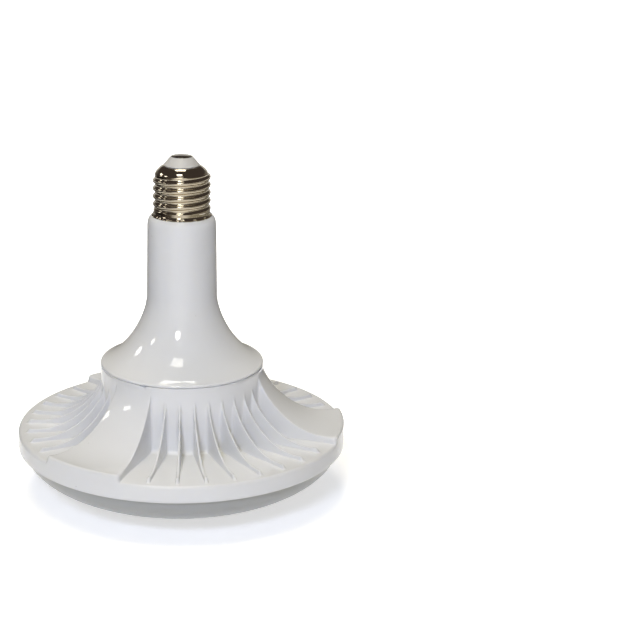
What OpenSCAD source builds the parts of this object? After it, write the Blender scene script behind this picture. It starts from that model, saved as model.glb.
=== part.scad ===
// Wide lamp with an E27 screw cap: a long-necked upper housing seated on a ribbed skirt, an opal
// diffuser under it, and the lamp board and driver inside. Millimetres. It stands on the lowest
// point of the diffuser with the cap upward, and its front is the -Y side.

/* [Overall] */
// Radius of the skirt's rim at its lower edge
rim_r = 76.8; // [60:0.1:100]
// Height of the rim's lower edge over the lowest point of the diffuser
diffuser_depth = 25.0; // [12:0.5:40]
// Height of the seam between skirt and upper housing over the rim's lower edge
drum_h = 38.5; // [34:0.5:60]
// Outer radius of the skirt's drum and of the upper housing at the seam
drum_r = 37.8; // [32:0.1:46]
// Height of the upper housing, from the seam to the shoulder under the cap
housing_h = 70.7; // [60:0.1:110]
// Wall thickness of the moulded shells
wall = 1.8; // [1.6:0.1:2.4]

/* [Cap] */
// Radius over the thread crests
thread_crest_r = 13.15; // [12.9:0.05:13.25]
// Radius at the thread roots
thread_root_r = 12.1; // [12:0.05:12.3]
// Rise of the thread in one turn
thread_pitch = 3.629; // [3.5:0.001:3.7]
// Turns of thread, the faded ends included
thread_turns = 4.7; // [3.5:0.05:4.7]
// Height of the cap from its lower lip to the top of the centre contact
cap_h = 27.8; // [26.5:0.1:29]
// Radius of the cap's plain band under the thread
cap_band_r = 12.85; // [12.6:0.05:13]
// Radius of the cap's flared lower lip
cap_lip_r = 13.7; // [13.3:0.05:14.2]
// Radius of the opening that holds the insulator
cap_opening_r = 7.9; // [7:0.1:8.4]
// Radius of the centre contact
contact_r = 4.85; // [4:0.05:5.5]
// Number of staking dents around the lower lip
dents = 14; // [8:1:18]
// Radius of each staking dent
dent_r = 0.6; // [0.3:0.05:0.8]

/* [Upper housing] */
// Radius of the neck where the flare begins
neck_r = 16.15; // [15.9:0.05:17.5]
// Radius of the neck at its upper end
neck_top_r = 15.7; // [15.5:0.05:16]
// Length of the spigot that carries the cap
spigot_h = 15.0; // [8:0.5:16]

/* [Skirt] */
// Height of the pocket floors over the rim's lower edge
floor_h = 7.2; // [6.5:0.1:9]
// Number of plain sectors around the skirt
sectors = 3; // [2:1:4]
// Angle that each plain sector spans
sector_angle = 30; // [20:1:40]
// Direction of the first plain sector's right-hand edge, from +X
sector_start = -21.8; // [-60:0.1:60]
// Ribs in each group between two plain sectors
ribs = 8; // [3:1:9]
// Rib thickness at the pocket floor
rib_base_t = 1.5; // [1:0.05:2.2]
// Rib thickness at the top of the drum
rib_tip_t = 0.8; // [0.5:0.05:1]
// Radius of the fillet between drum and pocket floor
floor_fillet = 2.6; // [1:0.1:4]

/* [Diffuser] */
// Wall thickness of the diffuser
diffuser_wall = 1.3; // [1.2:0.1:2.2]

/* [Lamp board] */
// Thickness of the heat plate
plate_t = 1.0; // [0.8:0.1:2]
// Thickness of the lamp board
board_t = 1.0; // [0.8:0.1:1.6]
// Radius of the wire hole through plate and board
wire_hole_r = 6.0; // [4:0.5:7]
// Distance of the board screws from the axis, as a part of the lamp board's radius
screw_place = 0.783; // [0.76:0.001:0.8]
// Radii of the rings of lamp chips, as parts of the lamp board's radius
led_rings = [0.37, 0.6, 0.912];
// Number of chips on each ring
led_counts = [8, 14, 22];
// Length, width and height of one lamp chip
led_size = [3.5, 2.8, 0.7];

/* [Driver] */
// Width, thickness and length of the driver board
driver_size = [24, 1.6, 56];
// Radius and length of the bulk capacitor
bulk_size = [5, 16];
// Radius and length of the output capacitor
output_size = [4, 12];
// Width, depth and height of the transformer's core
core_size = [14, 10.5, 14];
// Thickness of the transformer core's limbs across, and of its yokes
core_limb = [2, 2.5];
// Width, depth and height of the film capacitor
film_size = [9, 5, 12.5];
// Radius and length of the filter choke
choke_size = [4, 9];
// Radius and length of the fuse resistor
fuse_size = [1.8, 8.5];
// Width, depth and height of the bridge rectifier
bridge_size = [6.4, 2.4, 4.6];
// Width, depth and height of the driver chip
chip_size = [4, 1.5, 5];
// Radius of the wires
wire_r = 0.6; // [0.4:0.05:0.7]

/* [Fits] */
// Gap around each spigot that pushes into another piece
spigot_gap = 0.15; // [0.05:0.05:0.3]
// Height of the snap beads over their spigots
bead_h = 0.4; // [0.2:0.05:0.5]
// Gap between the driver board and its guide rails
rail_gap = 0.1; // [0.05:0.05:0.3]

/* [Hidden] */
$fn = 96;
rim_z = diffuser_depth;
floor_z = rim_z + floor_h;
seam_z = rim_z + drum_h;
neck_z = seam_z + housing_h;
neck_foot_z = seam_z + 33.5;
top_z = neck_z + cap_h;
// skirt
drum_in_r = drum_r - wall;
rim_in_r = rim_r - wall - 0.5;
rim_round = 1.4;
rim_top_r = rim_r - 0.2;
under_z = floor_z - wall;
rib_top_z = seam_z - 7.3;
sector_edge_r = rim_top_r - 1.1;
sector_edge_z = floor_z + 3.7;
sector_round = 0.8;
hollow_r = sector_edge_r - wall - 0.3;
period = 360 / sectors;
rib_step = (period - sector_angle) / (ribs + 1);
boss_r = 3.5;
pilot_r = 1.25;
// cap
cap_bore_r = thread_root_r - 0.6;
cap_wall = 1.1;
thread_z = neck_z + 2.4;
shoulder_z = top_z - 8.1;
lip_z = top_z - 4.6;
contact_t = 0.55;
stem_r = 1.1;
stem_end = top_z - 9;
insulator_hole_r = stem_r + 0.15;
insulator_z = lip_z - 6;
// plates
plate_z = under_z - plate_t;
board_z = plate_z - board_t;
board_r = rim_in_r - 4.3;
plate_r = rim_in_r - 2.2;
screw_pcd_r = screw_place * board_r;
screw_r = 1.15;
screw_head_r = 2.75;
connector_size = [7, 6, 3.2];
connector_x = wire_hole_r + 1.5;
lead_y = 1.3;
// driver
driver_z = neck_z - wall - driver_size.z;
driver_face = driver_size.y / 2;
across = driver_size.x / 24;
bend_h = 4;
lead_tail = 3;
// heights on the driver board: each part stands a set gap above the part below it
core_at = 2.5;
output_at = core_at + core_size.z + 2;
film_at = output_at + output_size[1] + 2.5;
fuse_at = film_at + film_size.z + 0.9;
live_at = film_at + film_size.z + 3.5;
choke_at = core_at + core_size.z + 2.5;
bulk_at = choke_at + choke_size[1] + 2;
neutral_at = bulk_at + bulk_size[1] + 2.5;
chip_at = 22;
bridge_at = chip_at + chip_size.z + 15;
lead_at = [9.5, 8];
white = "#e6e7ea";
nickel = "#b9b4a6";

// ---- curves used by the outlines ----
// One point of a cubic curve with the end points a and d and the handles b and c
function cubic(a, b, c, d, t) =
    pow(1 - t, 3) * a + 3 * t * pow(1 - t, 2) * b + 3 * t * t * (1 - t) * c + pow(t, 3) * d;
// The whole cubic curve in n steps
function curve(a, b, c, d, n = 12) = [for (i = [0:n]) cubic(a, b, c, d, i / n)];
// An arc about the point c
function arc(c, r, from, to, n = 5) =
    [for (i = [0:n]) c + r * [cos(from + (to - from) * i / n), sin(from + (to - from) * i / n)]];
// The same outline moved inward by t, for a wall of even thickness, on an outline that runs downward
function inset(p, t) =
    [for (i = [0:len(p) - 1])
        let (d = p[min(i + 1, len(p) - 1)] - p[max(i - 1, 0)])
        p[i] + t * [d.y, -d.x] / norm(d)];
function reversed(p) = [for (i = [len(p) - 1:-1:0]) p[i]];

// ---- the outlines that the shells share ----
// The flare from the neck down to the seam
flare = curve([neck_r, neck_foot_z], [neck_r, seam_z + 24.1], [neck_r + 8.3, seam_z + 7.1],
    [drum_r - 1.2, seam_z + 1.65], 16);
// The concave surface of a plain sector, from the drum out to the rim
sector_line = curve([drum_r, seam_z - 2.2], [drum_r + 0.7, seam_z - 9.1],
    [drum_r + 15.4, sector_edge_z - 3.8], [sector_edge_r, sector_edge_z], 16);
// The crest of a rib
rib_line = curve([drum_r - 0.4, rib_top_z], [drum_r + 0.6, rib_top_z - 6.8],
    [drum_r + 12.7, floor_z - 0.4], [rim_top_r - 5.6, floor_z + 2.3], 14);

// ---- cap ----
module centre_contact() {
    color(nickel)
    rotate_extrude()
    polygon([[0, top_z], [contact_r - 0.4, top_z], [contact_r - 0.1, top_z - 0.12],
        [contact_r, top_z - 0.35], [contact_r, top_z - contact_t], [stem_r, top_z - contact_t],
        [stem_r, stem_end], [0, stem_end]]);
}

module cap_insulator() {
    color(white)
    rotate_extrude()
    polygon([[insulator_hole_r, top_z - contact_t], [contact_r + 0.15, top_z - contact_t],
        [contact_r + 0.45, top_z - 0.85], [contact_r + 1.4, top_z - 1.8],
        [cap_opening_r + 0.25, lip_z], [cap_opening_r - 0.05, lip_z],
        [cap_opening_r - 0.05, lip_z - cap_wall - 0.3], [cap_bore_r - 0.6, insulator_z + 1.2],
        [cap_bore_r - 0.6, insulator_z], [insulator_hole_r, insulator_z]]);
}

// Distance of the thread's surface from the axis, at a height from the nearest crest: two tangent
// arcs, one over the crest and one in the root, each of the standard's radius
function thread_section(u) =
    let (half = thread_pitch / 2, depth = thread_crest_r - thread_root_r)
    let (r = (half * half + depth * depth) / (4 * depth))
    abs(u) < half / 2
        ? thread_crest_r - r + sqrt(r * r - u * u)
        : thread_root_r + r - sqrt(r * r - pow(half - abs(u), 2));
// How far the thread stands out, t turns from its start: it rises and dies away over a third of a turn
function thread_fade(t) =
    let (e = min(t, thread_turns - t) * 3)
    e <= 0 ? 0 : e >= 1 ? 1 : (1 - cos(180 * e)) / 2;
// Radius of the threaded wall at the direction a and the height z
function thread_radius(a, z) =
    let (up = (z - thread_z) / thread_pitch - (a + 90) / 360)
    let (k = round(up))
    thread_root_r + (thread_section((up - k) * thread_pitch) - thread_root_r)
        * thread_fade(k + (a + 90) / 360);

// The threaded wall, a closed solid wound from rows of points
module thread_wall() {
    around = 48;
    rows = 44;
    z0 = neck_z + 1.6;
    step = (shoulder_z - z0) / rows;
    points = [for (i = [0:rows]) for (j = [0:around - 1])
        let (a = j * 360 / around - 90, z = z0 + i * step)
        let (r = thread_radius(a, z))
        [r * cos(a), r * sin(a), z]];
    sides = [for (i = [0:rows - 1]) for (j = [0:around - 1])
        let (n = (j + 1) % around)
        [i * around + j, (i + 1) * around + j, (i + 1) * around + n, i * around + n]];
    split = [for (f = sides) each [[f[0], f[1], f[2]], [f[0], f[2], f[3]]]];
    bottom = [for (j = [0:around - 1]) j];
    top = [for (j = [around - 1:-1:0]) rows * around + j];
    polyhedron(points, concat(split, [bottom], [top]));
}

module cap_shell() {
    color(nickel)
    difference() {
        union() {
            thread_wall();
            // band and flared lip
            rotate_extrude()
            polygon([[0, neck_z], [cap_lip_r, neck_z], [cap_lip_r - 0.05, neck_z + 0.3],
                [cap_band_r + 0.3, neck_z + 0.65], [cap_band_r, neck_z + 1.1],
                [cap_band_r, neck_z + 3.1], [cap_band_r - 0.15, neck_z + 3.5],
                [thread_root_r - 0.05, neck_z + 3.8], [0, neck_z + 3.8]]);
            // rounded shoulder up to the insulator
            rotate_extrude()
            polygon(concat([[0, shoulder_z - 0.4], [thread_root_r - 0.1, shoulder_z - 0.4]],
                curve([thread_root_r - 0.1, shoulder_z], [thread_root_r - 0.6, shoulder_z + 1.4],
                    [cap_opening_r + 1.9, lip_z - 0.5], [cap_opening_r + 0.3, lip_z], 8),
                [[0, lip_z]]));
        }
        // bore, inner shoulder and the opening for the insulator
        rotate_extrude()
        polygon([[0, neck_z - 1], [cap_bore_r, neck_z - 1], [cap_bore_r, shoulder_z - 1.2],
            [cap_opening_r, lip_z - cap_wall], [cap_opening_r, lip_z + 1], [0, lip_z + 1]]);
        // staking dents around the lip
        for (i = [0:dents - 1])
            rotate(i * 360 / dents - 90)
            translate([cap_lip_r + 0.15, 0, neck_z + 0.6])
            sphere(r = dent_r, $fn = 24);
    }
}

// ---- upper housing ----
// Outline of a snap bead on a wall at radius r, centred on the height z, standing out by h
function bead(r, z, h) = [[r, z + 1], [r + h, z + 0.4], [r + h, z - 0.4], [r, z - 1]];

module upper_housing() {
    spigot_r = cap_bore_r - spigot_gap / 2;
    spigot_in_r = spigot_r - wall;
    foot_r = drum_in_r - spigot_gap;
    inner = [for (p = inset(flare, wall)) if (p.x < foot_r - wall) p];
    color(white)
    union() {
        rotate_extrude()
        polygon(concat(
            [[spigot_in_r, neck_z + spigot_h], [spigot_r, neck_z + spigot_h], [spigot_r, neck_z]],
            // shoulder: a narrow collar, then the rounded top of the neck
            [[cap_lip_r + 0.3, neck_z], [cap_lip_r + 0.6, neck_z - 0.3],
                [cap_lip_r + 0.6, neck_z - 0.7]],
            arc([neck_top_r - 1.2, neck_z - 2.1], 1.2, 80, 0, 4),
            flare,
            arc([drum_r - 1.4, seam_z + 0.9], 1.4, 50, -15, 4),
            // foot that pushes into the drum, with its snap bead
            [[drum_r - 0.35, seam_z], [foot_r, seam_z]],
            bead(foot_r, seam_z - 2.8, bead_h),
            [[foot_r, seam_z - 4.6], [foot_r - wall + 0.3, seam_z - 5],
                [foot_r - wall, seam_z - 4.6]],
            reversed(inner),
            [[neck_r - wall, neck_foot_z], [neck_top_r - wall, neck_z - wall],
                [spigot_in_r, neck_z - wall]]));
        // rails that guide the driver board
        intersection() {
            for (side = [-1, 1]) for (face = [-1, 1])
                translate([side * (driver_size.x / 2 + 0.8), face * (driver_face + rail_gap + 0.6),
                    driver_z + driver_size.z / 2 + 8])
                cube([4, 1.2, driver_size.z / 2], center = true);
            translate([0, 0, neck_foot_z])
            cylinder(r1 = neck_r - wall / 2, r2 = neck_top_r - wall / 2,
                h = neck_z - wall - neck_foot_z);
        }
    }
}

// ---- skirt ----
// Drum, pocket floor and rim as one turned wall
module skirt_wall() {
    rotate_extrude()
    polygon(concat(
        [[drum_in_r, seam_z], [drum_r - 0.35, seam_z], [drum_r, seam_z - 0.35]],
        arc([drum_r + floor_fillet, floor_z + floor_fillet], floor_fillet, 180, 270, 6),
        arc([rim_top_r - rim_round, floor_z + 0.4 - rim_round], rim_round, 90, 0, 5),
        [[rim_r, rim_z], [rim_in_r, rim_z]],
        reversed(bead(rim_in_r, rim_z + 2.6, bead_h + spigot_gap)),
        [[rim_in_r, under_z], [drum_in_r, under_z]],
        reversed(bead(drum_in_r, seam_z - 2.8, bead_h))));
}

// One plain sector as a solid wedge, and with inner = true the hollow under it
module sector_solid(inner = false) {
    line = inner ? inset(sector_line, wall) : sector_line;
    edge = inner ? [[hollow_r, sector_edge_z - wall - 0.3], [hollow_r, under_z - 1]]
        : concat(arc([sector_edge_r + 0.15, sector_edge_z - sector_round], sector_round, 88, 5, 4),
            [[rim_top_r - 0.02, floor_z - 1], [rim_top_r - 1, under_z + 0.2]]);
    hub = inner ? drum_r + 0.02 : drum_r - 0.6;
    reach = inner ? hollow_r - 0.3 : rim_r;
    floor = inner ? under_z - 1 : under_z + 0.2;
    rotate_extrude(angle = sector_angle)
    polygon(concat([[hub, floor]], [for (p = line) if (p.x > hub && p.x < reach) p], edge));
}

// The hollow, open below, with a wall left along both edges of the sector
module sector_hollow() {
    difference() {
        sector_solid(inner = true);
        for (side = [0, 1])
            rotate(side * sector_angle)
            translate([0, side == 0 ? 0 : -wall, 0])
            cube([rim_r, wall, seam_z]);
    }
}

// One rib: its long outline, thinned by a draft that runs from the floor to the top
module rib() {
    intersection() {
        rotate([90, 0, 0])
        linear_extrude(height = 2 * rib_base_t, center = true)
        polygon(concat([[drum_r - 0.8, floor_z - 0.5], [drum_r - 0.8, rib_top_z]], rib_line,
            [[rim_top_r - 4.7, floor_z + 1.9], [rim_top_r - 3.6, floor_z + 0.1],
                [rim_top_r - 3.6, floor_z - 0.5]]));
        rotate([90, 0, 90])
        linear_extrude(height = rim_r)
        polygon([[-rib_base_t / 2, floor_z - 1], [rib_base_t / 2, floor_z - 1],
            [rib_tip_t / 2, seam_z], [-rib_tip_t / 2, seam_z]]);
    }
}

module ribbed_skirt() {
    color(white)
    difference() {
        union() {
            difference() {
                union() {
                    skirt_wall();
                    for (s = [0:sectors - 1])
                        rotate(sector_start + s * period)
                        sector_solid();
                }
                for (s = [0:sectors - 1])
                    rotate(sector_start + s * period)
                    sector_hollow();
            }
            for (s = [0:sectors - 1]) {
                for (k = [1:ribs])
                    rotate(sector_start + sector_angle + s * period + k * rib_step)
                    rib();
                // boss for a board screw, up to the roof of the hollow
                rotate(sector_start + s * period)
                intersection() {
                    sector_solid();
                    rotate(sector_angle / 2)
                    translate([screw_pcd_r, 0, under_z])
                    cylinder(r = boss_r, h = drum_h);
                }
            }
        }
        for (s = [0:sectors - 1])
            rotate(sector_start + sector_angle / 2 + s * period)
            translate([screw_pcd_r, 0, under_z - 1])
            cylinder(r = pilot_r, h = 6);
    }
}

// ---- diffuser ----
module diffuser() {
    r = rim_in_r - spigot_gap;
    in_r = r - diffuser_wall;
    steps = 18;
    color("#c9cacc")
    rotate_extrude()
    polygon(concat(
        [[in_r, under_z], [r - 0.3, under_z]],
        bead(r, rim_z + 2.6, bead_h),
        [for (i = [0:steps]) [r * cos(90 * i / steps), rim_z * (1 - sin(90 * i / steps))]],
        [for (i = [steps:-1:0])
            [in_r * cos(90 * i / steps), rim_z - (rim_z - diffuser_wall) * sin(90 * i / steps)]]));
}

// ---- lamp board ----
// Places its children at each board screw
module at_screws() {
    for (s = [0:sectors - 1])
        rotate(sector_start + sector_angle / 2 + s * period)
        translate([screw_pcd_r, 0, 0])
        children();
}

module heat_plate() {
    color("#c8cbce")
    difference() {
        translate([0, 0, plate_z])
        cylinder(r = plate_r, h = plate_t);
        translate([0, 0, plate_z - 1])
        cylinder(r = wire_hole_r + 1, h = plate_t + 2);
        at_screws()
        translate([0, 0, plate_z - 1])
        cylinder(r = screw_r + 0.6, h = plate_t + 2);
    }
}

module led_board() {
    color("#f2f3f1")
    difference() {
        translate([0, 0, board_z])
        cylinder(r = board_r, h = board_t);
        translate([0, 0, board_z - 1])
        cylinder(r = wire_hole_r, h = board_t + 2);
        at_screws()
        translate([0, 0, board_z - 1])
        cylinder(r = screw_r + 0.4, h = board_t + 2);
    }
}

module leds() {
    color("#f0d36a")
    for (i = [0:len(led_rings) - 1])
        for (k = [0:led_counts[i] - 1])
            rotate((k + 0.5) * 360 / led_counts[i])
            translate([led_rings[i] * board_r, 0, board_z - led_size.z / 2])
            cube(led_size, center = true);
}

module board_screws() {
    color("#a9abad")
    at_screws()
    rotate_extrude()
    polygon([[0, board_z - 1.8], [1.9, board_z - 1.8], [screw_head_r, board_z - 1],
        [screw_head_r, board_z], [screw_r, board_z], [screw_r, under_z + 4], [0.4, under_z + 4.8],
        [0, under_z + 4.8]]);
}

module wire_connector() {
    color("#efeee8")
    difference() {
        translate([connector_x, -connector_size.y / 2, board_z - connector_size.z])
        cube(connector_size);
        for (side = [-1, 1])
            translate([connector_x - 1, side * lead_y, board_z - connector_size.z / 2])
            rotate([0, 90, 0])
            cylinder(r = wire_r + 0.1, h = lead_tail + 1);
    }
}

// ---- driver ----
module driver_board() {
    color("#3d7d4e")
    translate([-driver_size.x / 2, -driver_size.y / 2, driver_z])
    cube(driver_size);
}

// Where a part of the driver stands: x across the board from its middle, z up from its lower end
function on_board(x, z, y = driver_face) = [x * across, y, driver_z + z];

// A can lying on the front of the driver board: its radius and length, and its place
module can(size, x, z) {
    r = size[0];
    h = size[1];
    translate(on_board(x, z, driver_face + r))
    rotate_extrude()
    polygon([[0, 0], [r - 0.3, 0], [r, 0.3], [r, 1.5], [r - 0.35, 1.9], [r, 2.3], [r, h - 0.3],
        [r - 0.3, h], [0, h]]);
}

module bulk_capacitor() {
    color("#26282c")
    can(bulk_size, -5.2, bulk_at);
}

module output_capacitor() {
    color("#2c3038")
    can(output_size, 5.5, output_at);
}

module transformer_core() {
    window = core_size - 2 * [core_limb[0], 0, core_limb[1]];
    color("#3a3a3c")
    translate(on_board(0, core_at) - [core_size.x / 2, 0, 0])
    difference() {
        cube(core_size);
        translate([core_limb[0], -1, core_limb[1]])
        cube(window + [0, 2, 0]);
    }
}

module transformer_winding() {
    // fills the core's window but for the gap left all round
    gap = [0.1, 0.1, 0.1];
    window = core_size - 2 * [core_limb[0], 0, core_limb[1]];
    color("#d8b23c")
    translate(on_board(0, core_at) + [gap.x - window.x / 2, gap.y, core_limb[1] + gap.z])
    cube([window.x - 2 * gap.x, window.y - gap.y, window.z - 2 * gap.z]);
}

module film_capacitor() {
    color("#a3342b")
    translate(on_board(1.2, film_at))
    cube(film_size);
}

module filter_choke() {
    r = choke_size[0];
    h = choke_size[1];
    color("#55575b")
    translate(on_board(-5.5, choke_at, driver_face + r))
    rotate_extrude()
    polygon([[0, 0], [r, 0], [r, 1.2], [r - 0.7, 1.2], [r - 0.7, h - 1.2], [r, h - 1.2], [r, h],
        [0, h]]);
}

module fuse_resistor() {
    color("#7a9a8c")
    translate(on_board(6.5, fuse_at, driver_face + fuse_size[0]))
    cylinder(r = fuse_size[0], h = fuse_size[1]);
}

module bridge_rectifier() {
    color("#1d1e20")
    translate(on_board(0, bridge_at, -driver_face) - [bridge_size.x / 2, bridge_size.y, 0])
    cube(bridge_size);
}

module driver_chip() {
    color("#1d1e20")
    translate(on_board(0, chip_at, -driver_face) - [chip_size.x / 2, chip_size.y, 0])
    cube(chip_size);
}

// A round wire through the given points, a little fuller at each bend
module wire(path, r = wire_r) {
    for (i = [0:len(path) - 2])
        let (d = path[i + 1] - path[i])
        translate(path[i])
        rotate([0, acos(d.z / norm(d)), atan2(d.y, d.x)])
        cylinder(r = r, h = norm(d), $fn = 24);
    for (i = [1:len(path) - 2])
        translate(path[i])
        sphere(r = 1.08 * r, $fn = 24);
}

module live_wire() {
    lead = driver_face + wire_r;
    color("#b5392f")
    wire([on_board(3.5, live_at, lead), [3.5 * across, lead, neck_z + bend_h], [0, 0, insulator_z - 3],
        [0, 0, stem_end]]);
}

module neutral_wire() {
    lead = driver_face + wire_r;
    bend = insulator_z - 0.9;
    start = on_board(-6, neutral_at, lead);
    // the last stretch runs straight out to the bore, which its end meets
    out = sqrt(pow(cap_bore_r, 2) - pow(wire_r, 2)) / norm([start.x, lead]);
    color("#3a6ea8")
    wire([start, [start.x, lead, bend], [start.x * out, lead * out, bend]]);
}

module output_lead(side) {
    lead = driver_face + wire_r;
    hole_x = wire_hole_r - 2.5;
    drop = board_z - connector_size.z / 2;
    start = on_board(side * lead_at.x, lead_at.y, lead);
    wire([start, [start.x, lead, driver_z - bend_h],
        [hole_x, side * lead_y, seam_z - 8], [hole_x, side * lead_y, drop],
        [connector_x + lead_tail, side * lead_y, drop]]);
}

module positive_wire() {
    color("#b5392f")
    output_lead(1);
}

module negative_wire() {
    color("#2b2b2d")
    output_lead(-1);
}

centre_contact();
cap_insulator();
cap_shell();
upper_housing();
ribbed_skirt();
diffuser();
heat_plate();
led_board();
leds();
board_screws();
wire_connector();
driver_board();
bulk_capacitor();
output_capacitor();
transformer_core();
transformer_winding();
film_capacitor();
filter_choke();
fuse_resistor();
bridge_rectifier();
driver_chip();
live_wire();
neutral_wire();
positive_wire();
negative_wire();
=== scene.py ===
# %% [markdown]
# # A wide LED lamp
# The lamp stands on its opal diffuser with the screw cap upward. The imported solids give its
# sizes and its inner pieces. This lesson dresses the six shells that show: each is modelled
# again with its fillets, rounded edges and fine thread, and gets the finish of the real plastic
# or metal. The lamp's lengths are written in millimetres and turned to metres as its meshes are
# made; the places of camera and lights are in metres.

# %% Load the solids
import math
import bpy
import numpy as np
from mathutils import Matrix, Vector


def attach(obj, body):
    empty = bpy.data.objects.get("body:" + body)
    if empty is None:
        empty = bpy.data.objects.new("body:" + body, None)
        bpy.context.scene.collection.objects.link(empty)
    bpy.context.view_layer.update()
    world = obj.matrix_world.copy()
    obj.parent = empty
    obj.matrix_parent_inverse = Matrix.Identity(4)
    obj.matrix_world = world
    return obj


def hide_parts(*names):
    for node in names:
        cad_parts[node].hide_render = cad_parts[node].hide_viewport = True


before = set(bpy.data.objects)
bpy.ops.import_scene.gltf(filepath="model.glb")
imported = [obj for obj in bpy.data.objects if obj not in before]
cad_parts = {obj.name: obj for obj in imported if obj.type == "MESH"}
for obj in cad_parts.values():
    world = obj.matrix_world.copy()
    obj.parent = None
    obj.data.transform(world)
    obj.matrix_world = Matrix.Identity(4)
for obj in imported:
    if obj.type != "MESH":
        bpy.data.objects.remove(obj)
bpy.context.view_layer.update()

print("nodes:", sorted(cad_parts))

# %% [markdown]
# ## Camera
# The camera stands in front of the lamp, a little above it, and looks down by about 18 degrees.
# A long lens keeps the circles of the lamp close to true ellipses. The place, the angles and
# the focal length come from fitting the lamp's circles, so the lamp sits left of the middle.

# %% Camera
yaw, pitch, roll = 0.0864, 0.3078, 0.0231  # radians: to the right, down, and round the view
camera_at = (0, -0.74307, 0.32082)
focal_px, picture_px, sensor_mm = 1670.74, 640, 36

forward = Vector((math.sin(yaw) * math.cos(pitch), math.cos(yaw) * math.cos(pitch),
                  -math.sin(pitch)))
level_right = Vector((math.cos(yaw), -math.sin(yaw), 0))
level_up = level_right.cross(forward)
right = math.cos(roll) * level_right + math.sin(roll) * level_up
up = -math.sin(roll) * level_right + math.cos(roll) * level_up

bpy.ops.object.select_all(action="DESELECT")
bpy.ops.object.camera_add(location=camera_at)
camera = bpy.context.object
camera.name = "front_camera"
camera.rotation_mode = "QUATERNION"
camera.rotation_quaternion = Matrix((right, up, -forward)).transposed().to_quaternion()
camera.data.sensor_width = sensor_mm
camera.data.lens = focal_px / picture_px * sensor_mm
camera.data.clip_start, camera.data.clip_end = 0.01, 60
bpy.context.scene.camera = camera
print("lens:", round(camera.data.lens, 2), "mm")

# %% [markdown]
# ## Small helpers
# A maker turns a shape on a lathe from its section. Here the section is a ring of points: a
# circle primitive with as many corners as the section has points, its corners laid on the
# section, and then spun about the lamp's axis. Points on the axis fall together and are merged.

# %% Curves and turning
MM = 0.001


def cubic(a, b, c, d, steps):
    """Points of a cubic curve from a to d with the handles b and c."""
    t = np.linspace(0, 1, steps + 1)[:, None]
    a, b, c, d = (np.array(p, float) for p in (a, b, c, d))
    return (1 - t) ** 3 * a + 3 * t * (1 - t) ** 2 * b + 3 * t * t * (1 - t) * c + t**3 * d


def arc(centre, radius, start, end, steps):
    """Points of an arc, its angles in degrees."""
    t = np.radians(np.linspace(start, end, steps + 1))
    return np.column_stack([centre[0] + radius * np.cos(t), centre[1] + radius * np.sin(t)])


def deselect():
    bpy.ops.object.select_all(action="DESELECT")


def turned(name, section, steps):
    """A piece turned from a closed section of (radius, height) points in millimetres."""
    section = np.vstack(section)
    deselect()
    # any radius does, because each corner is laid on the section
    bpy.ops.mesh.primitive_circle_add(vertices=len(section), radius=0.05, fill_type="NOTHING")
    piece = bpy.context.object
    piece.name = piece.data.name = name
    for corner, (r, z) in zip(piece.data.vertices, section):
        corner.co = (r * MM, 0, z * MM)
    bpy.ops.object.mode_set(mode="EDIT")
    bpy.ops.mesh.select_all(action="SELECT")
    bpy.ops.mesh.spin(steps=steps, angle=2 * math.pi, center=(0, 0, 0), axis=(0, 0, 1))
    bpy.ops.mesh.select_all(action="SELECT")
    bpy.ops.mesh.remove_doubles(threshold=2e-6)
    bpy.ops.mesh.delete_loose()
    bpy.ops.mesh.select_all(action="SELECT")
    bpy.ops.mesh.normals_make_consistent(inside=False)
    bpy.ops.object.mode_set(mode="OBJECT")
    return piece


def finish_piece(piece, node, material, angle=35):
    """Smooth shading, the finish, and the piece's place in the frame."""
    deselect()
    piece.select_set(True)
    bpy.context.view_layer.objects.active = piece
    bpy.ops.object.shade_smooth_by_angle(angle=math.radians(angle))
    piece.data.materials.clear()
    piece.data.materials.append(material)
    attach(piece, "root")
    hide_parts(node)
    print(piece.name, "faces:", len(piece.data.polygons))


print("helpers: curves, turning and finishing; one millimetre is", MM, "m")

# %% [markdown]
# ## Materials
# One function turns a written colour into the linear values that the shader needs, and one adds
# a node with its settings and links. All patterns read Object coordinates, in metres, so a
# pattern's scale is one over its size in metres.

# %% Material helpers
def linear(code):
    """A colour written as #rrggbb, as linear values with alpha."""
    shares = [int(code[i : i + 2], 16) / 255 for i in (1, 3, 5)]
    return tuple(c / 12.92 if c <= 0.04045 else ((c + 0.055) / 1.055) ** 2.4
                 for c in shares) + (1.0,)


def new_material(name):
    material = bpy.data.materials.new(name)
    material.use_nodes = True
    return material, material.node_tree, material.node_tree.nodes["Principled BSDF"]


def add(tree, kind, settings=None, values=None, links=None):
    """A node with its settings, the values of its sockets, and links from other sockets."""
    node = tree.nodes.new(kind)
    for key, value in (settings or {}).items():
        setattr(node, key, value)
    for key, value in (values or {}).items():
        node.inputs[key].default_value = value
    for key, source in (links or {}).items():
        tree.links.new(source, node.inputs[key])
    return node


print("mid grey #808080 is", round(linear("#808080")[0], 3), "in linear light")

# %% [markdown]
# ### Moulded plastic of the housing and skirt
# The shells are white polycarbonate, injection moulded in a polished tool. The eye sees an even
# white with clear, small reflections of the lights, a very faint waviness where the wall shrank
# as it cooled, and a few specks of dust. The IOR of polycarbonate is near 1.58.

# %% Housing plastic
polycarbonate_ior = 1.58


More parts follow.
